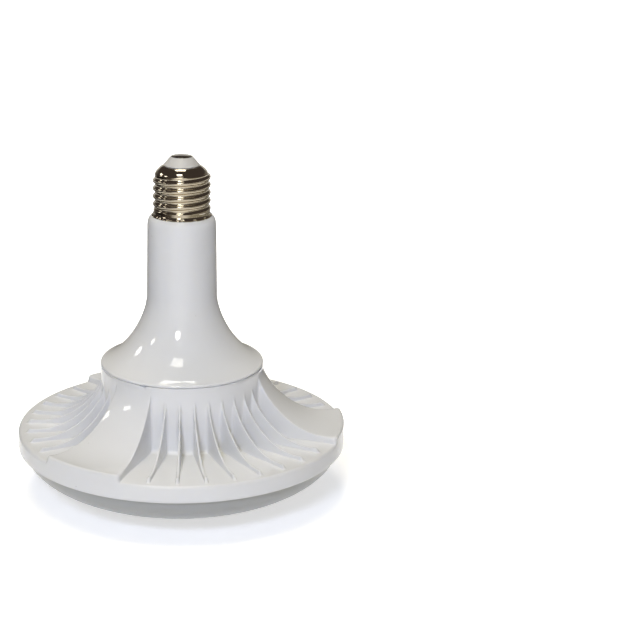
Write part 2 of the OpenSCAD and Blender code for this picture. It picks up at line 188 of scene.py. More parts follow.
def moulded_white(name, colour, tint, rough):
    material, tree, shader = new_material(name)
    place = add(tree, "ShaderNodeTexCoord").outputs["Object"]
    # cloudy tone, about 12 mm from patch to patch
    cloud = add(tree, "ShaderNodeTexNoise", values={"Scale": 80, "Detail": 2.0},
                links={"Vector": place})
    tone = add(tree, "ShaderNodeMix", {"data_type": "RGBA"},
               {"A": linear(colour), "B": linear(tint)}, {"Factor": cloud.outputs["Fac"]})
    # specks of dust, about 0.5 mm across, only where a coarse noise lets them through
    specks = add(tree, "ShaderNodeTexVoronoi", values={"Scale": 260}, links={"Vector": place})
    spot = add(tree, "ShaderNodeMapRange", {"clamp": True},
               {"From Min": 0.05, "From Max": 0.085, "To Min": 1.0, "To Max": 0.0},
               {"Value": specks.outputs["Distance"]})
    rare = add(tree, "ShaderNodeTexNoise", values={"Scale": 170, "Detail": 0.0},
               links={"Vector": place})
    where = add(tree, "ShaderNodeMapRange", {"clamp": True},
                {"From Min": 0.7, "From Max": 0.76, "To Min": 0.0, "To Max": 0.4},
                {"Value": rare.outputs["Fac"]})
    dust = add(tree, "ShaderNodeMath", {"operation": "MULTIPLY"},
               links={0: spot.outputs["Result"], 1: where.outputs["Result"]})
    dusty = add(tree, "ShaderNodeMix", {"data_type": "RGBA"}, {"B": linear("#8f8878")},
                {"Factor": dust.outputs["Value"], "A": tone.outputs["Result"]})
    # roughness wanders slightly, as a handled gloss does
    handled = add(tree, "ShaderNodeMapRange",
                  values={"To Min": rough - 0.01, "To Max": rough + 0.02},
                  links={"Value": cloud.outputs["Fac"]})
    # shrinkage waves, about 9 mm long and at most three hundredths of a millimetre high
    wave = add(tree, "ShaderNodeTexNoise", values={"Scale": 110, "Detail": 0.0},
               links={"Vector": place})
    bump = add(tree, "ShaderNodeBump", values={"Strength": 0.25, "Distance": 0.00003},
               links={"Height": wave.outputs["Fac"]})
    tree.links.new(dusty.outputs["Result"], shader.inputs["Base Color"])
    tree.links.new(handled.outputs["Result"], shader.inputs["Roughness"])
    tree.links.new(bump.outputs["Normal"], shader.inputs["Normal"])
    shader.inputs["IOR"].default_value = polycarbonate_ior
    return material


housing_white = moulded_white("polycarbonate_moulded_white", "#E5E6E8", "#E3E3E5", 0.04)
print("housing finish:", housing_white.name)

# %% [markdown]
# ### Opal plastic of the diffuser
# The diffuser is polycarbonate with fine scattering grains; it spreads reflections more than the
# housing does. Its grey is painted shade: white opal darkened, as the bowl faces down from the
# light.

# %% Diffuser plastic
opal_painted_shade, tree, shader = new_material("polycarbonate_opal_painted_shade")
place = add(tree, "ShaderNodeTexCoord").outputs["Object"]
# the scattering grains make a fine tone, about 1 mm
grain = add(tree, "ShaderNodeTexNoise", values={"Scale": 900, "Detail": 3.0},
            links={"Vector": place})
# the grey of these two tones is painted shade on the downward face; the grains vary it a little
tone = add(tree, "ShaderNodeMix", {"data_type": "RGBA"},
           {"A": linear("#A4A6A8"), "B": linear("#A9ABAC")}, {"Factor": grain.outputs["Fac"]})
# the moulded texture is about 0.3 mm, drawn a little coarser than the real one so that it shows
texture = add(tree, "ShaderNodeTexNoise", values={"Scale": 3000, "Detail": 1.0},
              links={"Vector": place})
bump = add(tree, "ShaderNodeBump", values={"Strength": 0.25, "Distance": 0.00002},
           links={"Height": texture.outputs["Fac"]})
tree.links.new(tone.outputs["Result"], shader.inputs["Base Color"])
tree.links.new(bump.outputs["Normal"], shader.inputs["Normal"])
shader.inputs["Roughness"].default_value = 0.32
shader.inputs["IOR"].default_value = polycarbonate_ior
print("diffuser finish:", opal_painted_shade.name)

# %% [markdown]
# ### Nickel plate, tinned contact and insulator
# The cap is pressed from brass sheet and nickel plated: a slightly warm, bright mirror with
# faint drawing marks round it. The contact disc is tinned and duller. The insulator is a dense
# moulded plastic, warm white and satin.

# %% Cap metals and insulator
def plated(name, colour, tint, rough, marks):
    material, tree, shader = new_material(name)
    place = add(tree, "ShaderNodeTexCoord").outputs["Object"]
    # drawing marks run round the cap: fine along the axis and long around it
    rings = add(tree, "ShaderNodeMapping", values={"Scale": (60, 60, 2600)},
                links={"Vector": place})
    mark = add(tree, "ShaderNodeTexNoise", values={"Scale": 1.0, "Detail": 3.0},
               links={"Vector": rings.outputs["Vector"]})
    # handling leaves cloudy stains of about 4 mm
    stain = add(tree, "ShaderNodeTexNoise", values={"Scale": 260, "Detail": 3.0},
                links={"Vector": place})
    tone = add(tree, "ShaderNodeMix", {"data_type": "RGBA"},
               {"A": linear(colour), "B": linear(tint)}, {"Factor": stain.outputs["Fac"]})
    worn = add(tree, "ShaderNodeMapRange", values={"To Min": rough, "To Max": rough + marks},
               links={"Value": mark.outputs["Fac"]})
    bump = add(tree, "ShaderNodeBump", values={"Strength": 0.3, "Distance": 0.00001},
               links={"Height": mark.outputs["Fac"]})
    tree.links.new(tone.outputs["Result"], shader.inputs["Base Color"])
    tree.links.new(worn.outputs["Result"], shader.inputs["Roughness"])
    tree.links.new(bump.outputs["Normal"], shader.inputs["Normal"])
    shader.inputs["Metallic"].default_value = 1.0
    return material


nickel = plated("nickel_plated_brass", "#CFC5B3", "#C1B7A4", 0.06, 0.08)
tinned = plated("tinned_contact", "#B0A99D", "#9C9589", 0.08, 0.05)

insulator_white, tree, shader = new_material("insulator_moulded_plastic")
place = add(tree, "ShaderNodeTexCoord").outputs["Object"]
# a dense moulding compound is mottled, about 2 mm from fleck to fleck
mottle = add(tree, "ShaderNodeTexNoise", values={"Scale": 500, "Detail": 3.0},
             links={"Vector": place})
tone = add(tree, "ShaderNodeMix", {"data_type": "RGBA"},
           {"A": linear("#CFCDCA"), "B": linear("#C7C5C1")}, {"Factor": mottle.outputs["Fac"]})
bump = add(tree, "ShaderNodeBump", values={"Strength": 0.2, "Distance": 0.00002},
           links={"Height": mottle.outputs["Fac"]})
tree.links.new(tone.outputs["Result"], shader.inputs["Base Color"])
tree.links.new(bump.outputs["Normal"], shader.inputs["Normal"])
shader.inputs["Roughness"].default_value = 0.38
shader.inputs["IOR"].default_value = 1.55
print("cap finishes:", nickel.name, tinned.name, insulator_white.name)

# %% [markdown]
# ## Sizes
# The same sizes as the solids have, in millimetres. The heights count from the lowest point of
# the diffuser. The seat is the step in the drum's top edge on which the upper housing stands,
# and the slip is the play between two shells that are pushed together.

# %% Sizes
rim_r, rim_z = 76.8, 25.0
floor_z, under_z, seam_z, neck_z, top_z = 32.2, 30.4, 63.5, 134.2, 162.0
drum_r, drum_in_r, rim_in_r, rim_top_r = 37.8, 36.0, 74.5, 76.6
seat_r, slip = drum_r - 1.1, 0.15
neck_r, neck_top_r, wall = 16.15, 15.7, 1.8
shell_steps = 192  # faces round a large turned shell
print("height:", top_z, "mm, diameter:", 2 * rim_r, "mm")

# %% [markdown]
# ## Diffuser
# A shallow bowl of opal plastic, half an ellipse in section, that pushes into the skirt from
# below. It is turned in one go, with its wall and its collar, and enough points along the
# ellipse that the outline stays smooth.

# %% Diffuser
diffuser_r, diffuser_wall, bead, bead_z = rim_in_r - slip, 1.3, 0.4, 26.6
outer_t = np.radians(np.linspace(90, 0, 49))[:, None]
outer = np.hstack([diffuser_r * np.cos(outer_t), rim_z * (1 - np.sin(outer_t))])
inner_t = outer_t[::-1]
inner_r, inner_z = diffuser_r - diffuser_wall, rim_z - diffuser_wall
inner = np.hstack([inner_r * np.cos(inner_t), rim_z - inner_z * np.sin(inner_t)])
outer[0, 0] = inner[-1, 0] = 0
# the collar stands up inside the rim, with a low bead that snaps into it
collar = [(diffuser_r, bead_z), (diffuser_r + bead, bead_z + 0.6),
          (diffuser_r + bead, bead_z + 1.4), (diffuser_r, bead_z + 2.0),
          (diffuser_r - 0.3, under_z), (inner_r, under_z)]
diffuser = turned("opal_diffuser", [outer, collar, inner], shell_steps)
finish_piece(diffuser, "diffuser", opal_painted_shade)

# %% [markdown]
# ## Upper housing
# Neck, flare and edge of the seam are one turned moulding. The flare is one cubic curve that
# leaves the neck upright and reaches the seam almost flat, and the edge above the seam is rolled
# over with a radius of 0.9 mm, with a fine gap under it. Below the cap the neck ends in a rounded
# shoulder. The foot below the seam and the spigot in the cap stay plain, because the skirt and
# the cap hide them.

# %% Upper housing
spigot_in_r, spigot_r, spigot_height = 9.6, 11.4, 15
collar_r, collar_roll, neck_end_z = 14.0, 0.35, neck_z - 4.6
flare_z, edge_roll, lip_roll = 97, 0.9, 0.2
foot_r, foot_z, lining_end_r = drum_in_r - slip, seam_z - 4.6, 34.0

spigot = [(spigot_in_r, neck_z + spigot_height), (spigot_r, neck_z + spigot_height),
          (spigot_r, neck_z), (collar_r, neck_z)]
collar_top = arc((collar_r, neck_z - collar_roll), collar_roll, 90, 20, 3)
shoulder = cubic((14.45, neck_z - 0.5), (15.0, neck_z - 0.85), (neck_top_r - 0.08, neck_z - 2.1),
                 (neck_top_r, neck_end_z), 12)
neck = np.column_stack([np.linspace(neck_top_r, neck_r, 9),
                        np.linspace(neck_end_z, flare_z, 9)])[1:-1]
flare = cubic((neck_r, flare_z), (neck_r, 87.6), (24.45, 70.6), (36.6, 65.15), 56)
edge = np.vstack([arc((drum_r - edge_roll, seam_z + 0.6), edge_roll, 66, 0, 8),
                  arc((drum_r - lip_roll, seam_z + 0.42), lip_roll, 0, -90, 3),
                  [(seat_r, seam_z + 0.22)]])
foot = [(seat_r, seam_z), (foot_r, seam_z), (foot_r, foot_z), (foot_r - wall, foot_z)]
# the lining runs one wall inside the flare, from the foot back up to the neck
tangent = np.gradient(flare, axis=0)
inward = np.column_stack([tangent[:, 1], -tangent[:, 0]])
lining = flare + wall * inward / np.linalg.norm(tangent, axis=1)[:, None]
lining = lining[lining[:, 0] < lining_end_r][::-1]
inside = [(neck_r - wall, flare_z), (neck_top_r - wall, neck_z - wall),
          (spigot_in_r, neck_z - wall)]
housing = turned("upper_housing_shell",
                 [spigot, collar_top, shoulder, neck, flare, edge, foot, lining, inside],
                 shell_steps)
finish_piece(housing, "upper_housing", housing_white)

# %% [markdown]
# ## Ribbed skirt
# The skirt is one moulding: a drum, a flat pocket floor with a rim, three groups of eight ribs,
# and three plain sectors between the groups. Every corner has a small fillet, which joining
# separate blocks would not give. So the skirt is laid out as a net. A grid primitive gets one
# row for each step down the drum and out over the floor, and one column for each line round the
# skirt. Each column knows how far it stands off the floor toward the crest of its rib, and that
# is what lifts the ribs, rounds their crests and fills their corners.

# %% Outlines of the skirt
corner_roll, rim_roll, drum_steps = 1.8, 1.4, 28
rim_floor_z = floor_z + 0.4  # the floor rises a little toward the rim
# the ground line: from the seat down the drum, out over the floor, and round the rim
seat_rows = [(seat_r, seam_z), (seat_r, seam_z - 0.1)]
drum_lip = arc((drum_r - lip_roll, seam_z - 0.3), lip_roll, 90, 15, 3)
drum_rows = np.column_stack([np.full(drum_steps, drum_r),
                             np.linspace(seam_z - 0.4, floor_z + corner_roll, drum_steps)])
corner_rows = arc((drum_r + corner_roll, floor_z + corner_roll), corner_roll, 180, 270, 9)[1:]
floor_r = np.concatenate([np.linspace(40.6, 66, 19), np.linspace(66.5, 74.8, 20)])
floor_rows = np.column_stack([floor_r, np.interp(
    floor_r, [drum_r + corner_roll, rim_top_r - rim_roll], [floor_z, rim_floor_z])])
rim_lip = arc((rim_top_r - rim_roll, rim_floor_z - rim_roll), rim_roll, 90, 0, 7)
rim_rows = [(76.63, 30.4), (76.65, 29.6), (76.7, 28.0), (76.75, 26.4),
            (rim_r, rim_z + 0.25), (rim_r - 0.25, rim_z)]
ground = np.vstack([seat_rows, drum_lip, drum_rows, corner_rows, floor_rows, rim_lip, rim_rows])
# the hidden inner face: under the floor, and up inside the drum
hidden = np.array([(rim_in_r, rim_z), (rim_in_r, under_z), (60, under_z), (48, under_z),
                   (drum_in_r, under_z), (drum_in_r, 45), (drum_in_r, seam_z)])

# the crest lines of a plain sector and of a rib, each from the drum to the rim
sector_line = np.vstack([
    cubic((drum_r, 61.3), (38.5, 54.4), (53.2, 32.1), (75.16, 35.94), 70),
    arc((75.35, 34.75), 1.2, 94, 2, 10), [(76.54, 33.0), (rim_top_r, 31.2)]])
rib_line = np.vstack([
    cubic((drum_r, 56.6), (38.4, 49.4), (50.5, 31.8), (70.9, 34.5), 60),
    cubic((71.3, 34.5), (71.9, 34.4), (72.3, 33.2), (73.4, 32.6), 8)])
print("rows down the skirt:", len(ground) + len(hidden))

# %% [markdown]
# A row on the ground line has its partner on the crest line at the same share of the way. Where
# no rib stands, the two fall together and the height is zero.

# %% Partners on the crest lines
def length(points):
    """The length of the way from the first point to each point."""
    return np.concatenate([[0], np.cumsum(np.linalg.norm(np.diff(points, axis=0), axis=1))])


def nearest(r, z):
    """The ground row nearest to the radius r and the height z."""
    return int(np.argmin(np.hypot(ground[:, 0] - r, ground[:, 1] - z)))


def partners(line):
    """For each ground row, the point of line at the same share of the way between its ends."""
    first, last = nearest(*line[0]), nearest(*line[-1])
    way, reach = length(ground), length(line)
    share = np.clip((way - way[first]) / (way[last] - way[first]), 0, 1)
    found = np.column_stack([np.interp(share * reach[-1], reach, line[:, k]) for k in (0, 1)])
    flat = (share <= 0) | (share >= 1)
    found[flat] = ground[flat]
    return found


rib_crest = partners(rib_line)
sector_top = partners(sector_line)
rib_height = np.linalg.norm(rib_crest - ground, axis=1)
sector_height = np.linalg.norm(sector_top - ground, axis=1)
print("tallest rib:", round(rib_height.max(), 1), "mm")

# %% [markdown]
# Each rib and each side of a plain sector has a fillet at its foot. The ribs end in a rounded
# crest, drafted from 1.5 mm at the floor to 0.8 mm at the top of the drum, and they get thinner
# toward the crest, as a moulding must to leave its tool. The plain sectors' upper edges are
# rounder near the rim. Where a rib or a sector is low, its fillet and its edge share the height.

# %% Columns of the skirt
foot_half, top_half = 0.75, 0.40  # half the thickness of a rib, at the floor and up the drum
taper, taper_height = 0.28, 7
spare = 0.05  # the least height left between a fillet and the rounding above it
foot_angles = np.radians([0, 22, 45, 67, 90])
# all three change on the way out: fillets on the floor are smaller than those up the drum
fillet = np.interp(ground[:, 1], [floor_z + 0.8, floor_z + 6], [0.55, 1.25])
sector_edge = np.interp(sector_top[:, 0], [66, 75.8], [0.45, 2.2])
spread = np.interp(ground[:, 0], [64, 75.5], [0, 1.1])


def rib_columns():
    """(sideways offset, height) of each column of one rib, for all rows at once."""
    up_the_drum = (ground[:, 1] - floor_z + 1) / (seam_z - floor_z + 1)
    half = foot_half - (foot_half - top_half) * up_the_drum
    slim = half - taper * np.minimum(1, rib_height / taper_height)
    crest = 0.6 * slim
    squash = np.minimum(1, rib_height / (fillet + crest + spare))
    low, high = fillet * squash, crest * squash
    side = []
    for angle in foot_angles:
        side.append((half + fillet * (1 - np.sin(angle)), low * (1 - np.cos(angle))))
    for part in (0.3, 0.65):
        side.append((half + (slim - half) * part, low + (rib_height - low - high) * part))
    for angle in np.radians([0, 30, 60, 90]):
        side.append((slim - 0.02 - crest * (1 - np.cos(angle)),
                     rib_height - high * (1 - np.sin(angle))))
    top = [(np.zeros_like(half), rib_height)]
    left = [(-y, d) for y, d in side]
    return left + top + side[::-1]


def sector_columns():
    """The same for the side wall of a plain sector; the sector lies on the positive side, and
    its walls part a little toward the rim."""
    squash = np.minimum(1, sector_height / (fillet + sector_edge + spare))
    low, high = fillet * squash, sector_edge * squash
    side = []
    for angle in foot_angles:
        side.append((-spread - fillet * (1 - np.sin(angle)), low * (1 - np.cos(angle))))
    for part in (0.35, 0.7):
        side.append((0.02 * (1 + part) - spread, low + (sector_height - low - high) * part))
    for angle in np.radians([0, 18, 36, 54, 72, 90]):
        side.append((0.05 - spread + sector_edge * (1 - np.cos(angle)),
                     sector_height - high * (1 - np.sin(angle))))
    return side


print("columns of one rib:", len(rib_columns()), "and of one sector side:", len(sector_columns()))

# %% [markdown]
# The columns now go round the lamp. A third of the skirt is one plain sector, 30 degrees wide,
# and eight ribs, 10 degrees apart, and it repeats three times. Plain columns on the floor fill
# what is left between two raised parts.

# %% Points of the skirt
def column_points(middle, offset, height, crest, full):
    """One column: its angles round the skirt in radians, its radii and its heights."""
    share = (height / np.maximum(full, 1e-9))[:, None]
    point = ground + (crest - ground) * np.where(full[:, None] > 1e-6, share, 0)
    around = middle + np.arcsin(offset / point[:, 0])
    return around, point[:, 0], point[:, 1]


def between(left, right, count):
    """Columns on the ground between two others, evenly spread."""
    made = []
    for k in range(1, count + 1):
        part = k / (count + 1)
        made.append(tuple(a + (b - a) * part for a, b in zip(left, right)))
    return made


sectors, first_sector, sector_width = 3, -21.8, 30  # the angles in degrees
ribs, rib_step, roof_columns, gap_columns = 8, 10, 13, 4
columns = []
for sector in range(sectors):
    start = math.radians(first_sector + 360 / sectors * sector)
    end = start + math.radians(sector_width)
    rise = [column_points(start, y, d, sector_top, sector_height) for y, d in sector_columns()]
    fall = [column_points(end, -y, d, sector_top, sector_height) for y, d in sector_columns()]
    groups = [rise + between(rise[-1], fall[-1], roof_columns) + fall[::-1]]
    for k in range(1, ribs + 1):
        middle = end + math.radians(rib_step * k)
        groups.append([column_points(middle, y, d, rib_crest, rib_height)
                       for y, d in rib_columns()])
    for group in groups:
        if columns:
            columns += between(columns[-1], group[0], gap_columns)
        columns += group
# the last gap leads on to the first column, one turn further round
first = (columns[0][0] + 2 * math.pi, columns[0][1], columns[0][2])
columns += between(columns[-1], first, gap_columns)
print("columns round the skirt:", len(columns))

# %% [markdown]
# The grid's rows and columns are now laid on these points. The last row and column come back
# to the first, so merging by distance closes the net both round the axis and through the
# hidden underside.

# %% Lay the grid on the skirt
rows = len(ground) + len(hidden)
angles = np.array([np.concatenate(
    [around, np.linspace(around[-1], around[0], len(hidden) + 2)[1:-1]])
    for around, r, z in columns])
radii = np.array([np.concatenate([r, hidden[:, 0]]) for around, r, z in columns])
heights = np.array([np.concatenate([z, hidden[:, 1]]) for around, r, z in columns])
# a small nick in the edge at the seam, left of the front, 3 degrees wide
nick_at, nick_half, nick_depth = math.radians(242.8), math.radians(1.5), 0.8
nick = (np.abs(angles - nick_at) < nick_half) & (heights > seam_z - 0.7)
heights[nick] -= nick_depth
radii[nick] = np.minimum(radii[nick], drum_r - 0.9)
points = np.stack([radii * np.cos(angles), radii * np.sin(angles), heights], axis=2) * MM
points = np.concatenate([points, points[:1]], axis=0)
points = np.concatenate([points, points[:, :1]], axis=1)

deselect()
bpy.ops.mesh.primitive_grid_add(x_subdivisions=len(columns), y_subdivisions=rows, size=0.1)
skirt = bpy.context.object
skirt.name = skirt.data.name = "ribbed_skirt_shell"
skirt.data.vertices.foreach_set("co", points.transpose(1, 0, 2).ravel())
bpy.ops.object.mode_set(mode="EDIT")
bpy.ops.mesh.select_all(action="SELECT")
bpy.ops.mesh.remove_doubles(threshold=1e-6)
bpy.ops.mesh.normals_make_consistent(inside=False)
bpy.ops.object.mode_set(mode="OBJECT")
finish_piece(skirt, "ribbed_skirt", housing_white, 50)

# %% [markdown]
# ## Cap shell
# The cap is pressed from thin sheet, and its thread is rolled in. It is turned as a plain
# section with close rows, and then the rows between band and shoulder are moved out to the
# standard's round profile, which climbs 3.629 mm in a turn and fades out at both ends.

# %% Cap shell
crest_r, root_r, thread_pitch, turns = 13.15, 12.1, 3.629, 4.8
thread_z, shoulder_z, lip_z = neck_z + 2.15, top_z - 8.1, top_z - 4.6
bore_r, opening_r, shoulder_r, row_step, cap_steps = root_r - 0.6, 7.9, 12.0, 0.19, 288
thread_start = -math.pi / 2 - 0.9  # 0.9 radians to the left of the front

band = [(13.72, neck_z + 0.02), (13.76, neck_z + 0.14), (13.7, neck_z + 0.28),
        (13.5, neck_z + 0.55), (13.28, neck_z + 0.85), (13.09, neck_z + 1.15),
        (12.96, neck_z + 1.42), (12.88, neck_z + 1.65)]
thread_rows = np.arange(neck_z + 1.8, shoulder_z, row_step)
wall_rows = np.column_stack([np.full(len(thread_rows), root_r), thread_rows])
cap_shoulder = cubic((shoulder_r, shoulder_z), (11.5, shoulder_z + 1.4),
                     (opening_r + 1.9, lip_z - 0.5), (opening_r + 0.35, lip_z), 14)
bore = [(opening_r + 0.05, lip_z - 0.1), (opening_r, lip_z - 1.1), (bore_r, shoulder_z - 1.2),
        (bore_r, neck_z + 0.02), (bore_r + 0.8, neck_z)]
cap = turned("threaded_cap", [band, wall_rows, cap_shoulder, bore], cap_steps)

# %% [markdown]
# Two rules now move the cap's points in or out. The first winds the thread: it finds the nearest
# crest from a point's height and angle. The second, in the next cell, presses the dents.

# %% Thread
def move_points(piece, new_radius):
    """Give each point the radius that new_radius(r, angle, z) returns, all in millimetres."""
    moved = 0
    for vertex in piece.data.vertices:
        x, y, z = (c / MM for c in vertex.co)
        r = math.hypot(x, y)
        new_r = new_radius(r, math.atan2(y, x), z)
        if new_r != r:
            vertex.co.x, vertex.co.y = x * new_r / r * MM, y * new_r / r * MM
            moved += 1
    return moved


def profile(u):
    """Radius of the thread at the height u from the nearest crest: two tangent arcs."""
    depth, half = crest_r - root_r, thread_pitch / 2
    r = (half**2 + depth**2) / (4 * depth)
    if abs(u) < half / 2:
        return crest_r - r + math.sqrt(r * r - u * u)
    return root_r + r - math.sqrt(r * r - (half - abs(u)) ** 2)


def fade(t):
    """How far the thread stands out, t turns from its start; it takes a third of a turn."""
    e = min(t, turns - t) * 3
    return 0 if e <= 0 else 1 if e >= 1 else (1 - math.cos(math.pi * e)) / 2


# the plain wall that the thread fades into: the band below it, and the thread's root
plain_z = [neck_z + 3.0, neck_z + 3.15, neck_z + 3.4, neck_z + 3.8, shoulder_z - 0.3, shoulder_z]
plain_r = [12.85, 12.8, 12.5, root_r, root_r, shoulder_r]


def threaded(r, angle, z):
    """The radius of the wall with its thread; the bore, the lip and the shoulder stay."""
    if r < bore_r + 0.3 or not neck_z + 1.7 < z < shoulder_z - 0.02:
        return r
    turn = (angle - thread_start) % (2 * math.pi) / (2 * math.pi)
    rise = (z - thread_z) / thread_pitch - turn
    k = round(rise)
    wound = root_r + (profile((rise - k) * thread_pitch) - root_r) * fade(k + turn)
    return max(wound, np.interp(z, plain_z, plain_r))


print("points moved onto the thread:", move_points(cap, threaded))

# %% [markdown]
# A ring of fourteen shallow dents stakes the lip onto the neck. Each is about 2.3 mm wide and
# 1.2 mm high.

# %% Staking dents
dents, dent_r, dent_z, dent_push = 14, 0.62, neck_z + 0.4, 1.25


def dented(r, angle, z):
    """The radius of the lip with its dents."""
    if r < 12.6 or z > neck_z + 1.3:
        return r
    step = 2 * math.pi / dents
    off = (angle + math.pi / 2 + step / 2) % step - step / 2
    away = math.hypot(0.55 * off * r, z - dent_z)
    if away >= dent_r:
        return r
    return min(r, 13.9 - math.sqrt(dent_r**2 - away**2) * dent_push)


print("points pressed into dents:", move_points(cap, dented))
finish_piece(cap, "cap_shell", nickel, 60)

# %% [markdown]
# ## Insulator and contact
# The insulator is a cone with softly rounded edges that sits in the cap's opening. The contact
# is a shallow pressed disc on top of it, with a rolled edge, and its stem goes down the middle.

# %% Insulator and contact
stem_hole_r, stem_r, contact_z = 1.25, 1.1, top_z - 0.55
insulator_section = [
    [(stem_hole_r, contact_z), (4.6, contact_z)],
    arc((4.85, top_z - 0.95), 0.4, 95, 40, 4),
    [(5.9, top_z - 1.55), (6.9, top_z - 2.72), (7.6, top_z - 3.62)],
    arc((7.78, top_z - 4.28), 0.36, 35, -20, 4),
    [(7.85, lip_z), (7.85, lip_z - 1.4), (10.9, lip_z - 4.8), (10.9, lip_z - 6),
     (stem_hole_r, lip_z - 6)]]
insulator = turned("insulator_cone", insulator_section, 128)
finish_piece(insulator, "cap_insulator", insulator_white)

contact_section = [
    cubic((0, top_z), (1.5, top_z), (3.2, top_z - 0.14), (4.5, top_z - 0.34), 12),
    [(4.72, top_z - 0.39), (4.83, top_z - 0.45), (4.85, top_z - 0.52)],
    [(4.75, contact_z), (stem_r, contact_z), (stem_r, top_z - 9), (0, top_z - 9)]]
contact = turned("centre_contact_disc", contact_section, 96)
finish_piece(contact, "centre_contact", tinned)

# %% [markdown]
# ## Inner pieces
# The lamp board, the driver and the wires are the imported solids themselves. They can't be seen
# in the closed lamp, so they get plain finishes of their real materials, each with a little
# tone and roughness of its own.

# %% Finishes of the inner pieces
def inner_finish(name, colour, tint, rough, metallic=0.0, size_mm=2.0):
    """A finish whose tone changes over size_mm."""
    material, tree, shader = new_material(name)
    place = add(tree, "ShaderNodeTexCoord").outputs["Object"]
    grain = add(tree, "ShaderNodeTexNoise", values={"Scale": 1000 / size_mm, "Detail": 2.0},
                links={"Vector": place})
    tone = add(tree, "ShaderNodeMix", {"data_type": "RGBA"},
               {"A": linear(colour), "B": linear(tint)}, {"Factor": grain.outputs["Fac"]})
    worn = add(tree, "ShaderNodeMapRange", values={"To Min": rough, "To Max": rough + 0.1},
               links={"Value": grain.outputs["Fac"]})
    tree.links.new(tone.outputs["Result"], shader.inputs["Base Color"])
    tree.links.new(worn.outputs["Result"], shader.inputs["Roughness"])
    shader.inputs["Metallic"].default_value = metallic
    return material


inner = {
    "heat_plate": inner_finish("aluminium_rolled", "#C9CBCD", "#BFC1C4", 0.3, 1.0, 4.0),
    "led_board": inner_finish("solder_mask_white", "#F0F0EE", "#E8E9E6", 0.35),
    "leds": inner_finish("phosphor_yellow", "#F0D36A", "#E6C558", 0.4, 0.0, 0.8),
    "board_screws": inner_finish("steel_zinc_plated", "#B0B2B5", "#A3A6AA", 0.28, 1.0, 1.0),
    "wire_connector": inner_finish("nylon_moulded", "#ECEAE3", "#E2DFD6", 0.4),
    "driver_board": inner_finish("solder_mask_green", "#2F6B3F", "#285E37", 0.3),
    "bulk_capacitor": inner_finish("sleeve_black", "#26282C", "#2E3035", 0.25),
    "output_capacitor": inner_finish("sleeve_dark_blue", "#252B3A", "#2C3343", 0.25),
    "transformer_core": inner_finish("ferrite_fired", "#3A3A3C", "#323234", 0.5),
    "transformer_winding": inner_finish("winding_tape_yellow", "#D8B23C", "#CBA530", 0.3),
    "film_capacitor": inner_finish("epoxy_dipped_red", "#A3342B", "#962C24", 0.3),
    "filter_choke": inner_finish("ferrite_drum", "#45464A", "#3B3C40", 0.5),
    "fuse_resistor": inner_finish("lacquer_green_grey", "#7A9A8C", "#6F8F82", 0.4),
    "bridge_rectifier": inner_finish("epoxy_moulded", "#1D1E20", "#242528", 0.45),
    "driver_chip": inner_finish("epoxy_moulded_chip", "#1B1C1E", "#222326", 0.45),
    "live_wire": inner_finish("wire_red", "#B5392F", "#AA3228", 0.4),
    "neutral_wire": inner_finish("wire_blue", "#3A6EA8", "#33639A", 0.4),
    "positive_wire": inner_finish("wire_red_output", "#B5392F", "#A9322A", 0.4),
    "negative_wire": inner_finish("wire_black", "#2B2B2D", "#323234", 0.4),
}
for node, material in inner.items():
    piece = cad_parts[node]
    if not piece.material_slots:
        piece.data.materials.append(material)
    for slot in piece.material_slots:
        slot.material = material
print("inner pieces with a finish:", len(inner))

# %% [markdown]
# ## Floor
# A wide pale floor. Where nothing shades it, it shows as white; the lamp's soft shadow stays,
# because part of its light is real. A camera ray, a glossy ray and a transmission ray all see
# the same floor.

# %% Floor
floor_radius, floor_gap = 12, 0.0002  # metres; the gap keeps the floor clear of the diffuser
deselect()
bpy.ops.mesh.primitive_circle_add(vertices=96, radius=floor_radius, fill_type="NGON",
                                  location=(0, 0, -floor_gap))
floor = bpy.context.object
floor.name = "studio_floor"
paper, tree, shader = new_material("floor_paper_white")
place = add(tree, "ShaderNodeTexCoord").outputs["Object"]
# paper is cloudy when it is lit from the side, here over about 25 mm
fibre = add(tree, "ShaderNodeTexNoise", values={"Scale": 40, "Detail": 2.0},
            links={"Vector": place})
tone = add(tree, "ShaderNodeMix", {"data_type": "RGBA"},
           {"A": linear("#E6E6E6"), "B": linear("#E8E8E7")}, {"Factor": fibre.outputs["Fac"]})
path = add(tree, "ShaderNodeLightPath")
seen = add(tree, "ShaderNodeMath", {"operation": "MAXIMUM"},
           links={0: path.outputs["Is Camera Ray"], 1: path.outputs["Is Glossy Ray"]})
seen = add(tree, "ShaderNodeMath", {"operation": "MAXIMUM"},
           links={0: seen.outputs["Value"], 1: path.outputs["Is Transmission Ray"]})
# the glow rises away from the lamp, so that the shadow under it stays
away = add(tree, "ShaderNodeVectorMath", {"operation": "LENGTH"}, links={0: place})
rising = add(tree, "ShaderNodeMapRange", {"clamp": True},
             {"From Min": 0.1, "From Max": 0.5, "To Min": 0.58, "To Max": 1.0},
             {"Value": away.outputs["Value"]})
glow = add(tree, "ShaderNodeMath", {"operation": "MULTIPLY"},
           links={0: seen.outputs["Value"], 1: rising.outputs["Result"]})
tree.links.new(tone.outputs["Result"], shader.inputs["Base Color"])
tree.links.new(glow.outputs["Value"], shader.inputs["Emission Strength"])
shader.inputs["Emission Color"].default_value = linear("#FFFFFF")
shader.inputs["Roughness"].default_value = 0.9
shader.inputs["Specular IOR Level"].default_value = 0.0
floor.data.materials.append(paper)
print("floor radius:", floor_radius, "m")

# %% [markdown]
# ## Card round the lamp
# In a studio, cards stand round shiny metal and white plastic, so that their edges don't melt
# into the white ground. Here it is one low ring whose tone changes round the lamp: white in
# front, nearly black at the left, grey at the right and behind. The world goes on in the same
# tones above it, up to about 20 degrees, where the dark room begins. Only reflections see them.

# %% Card ring
ring_r, ring_height = 0.2, 0.13  # metres
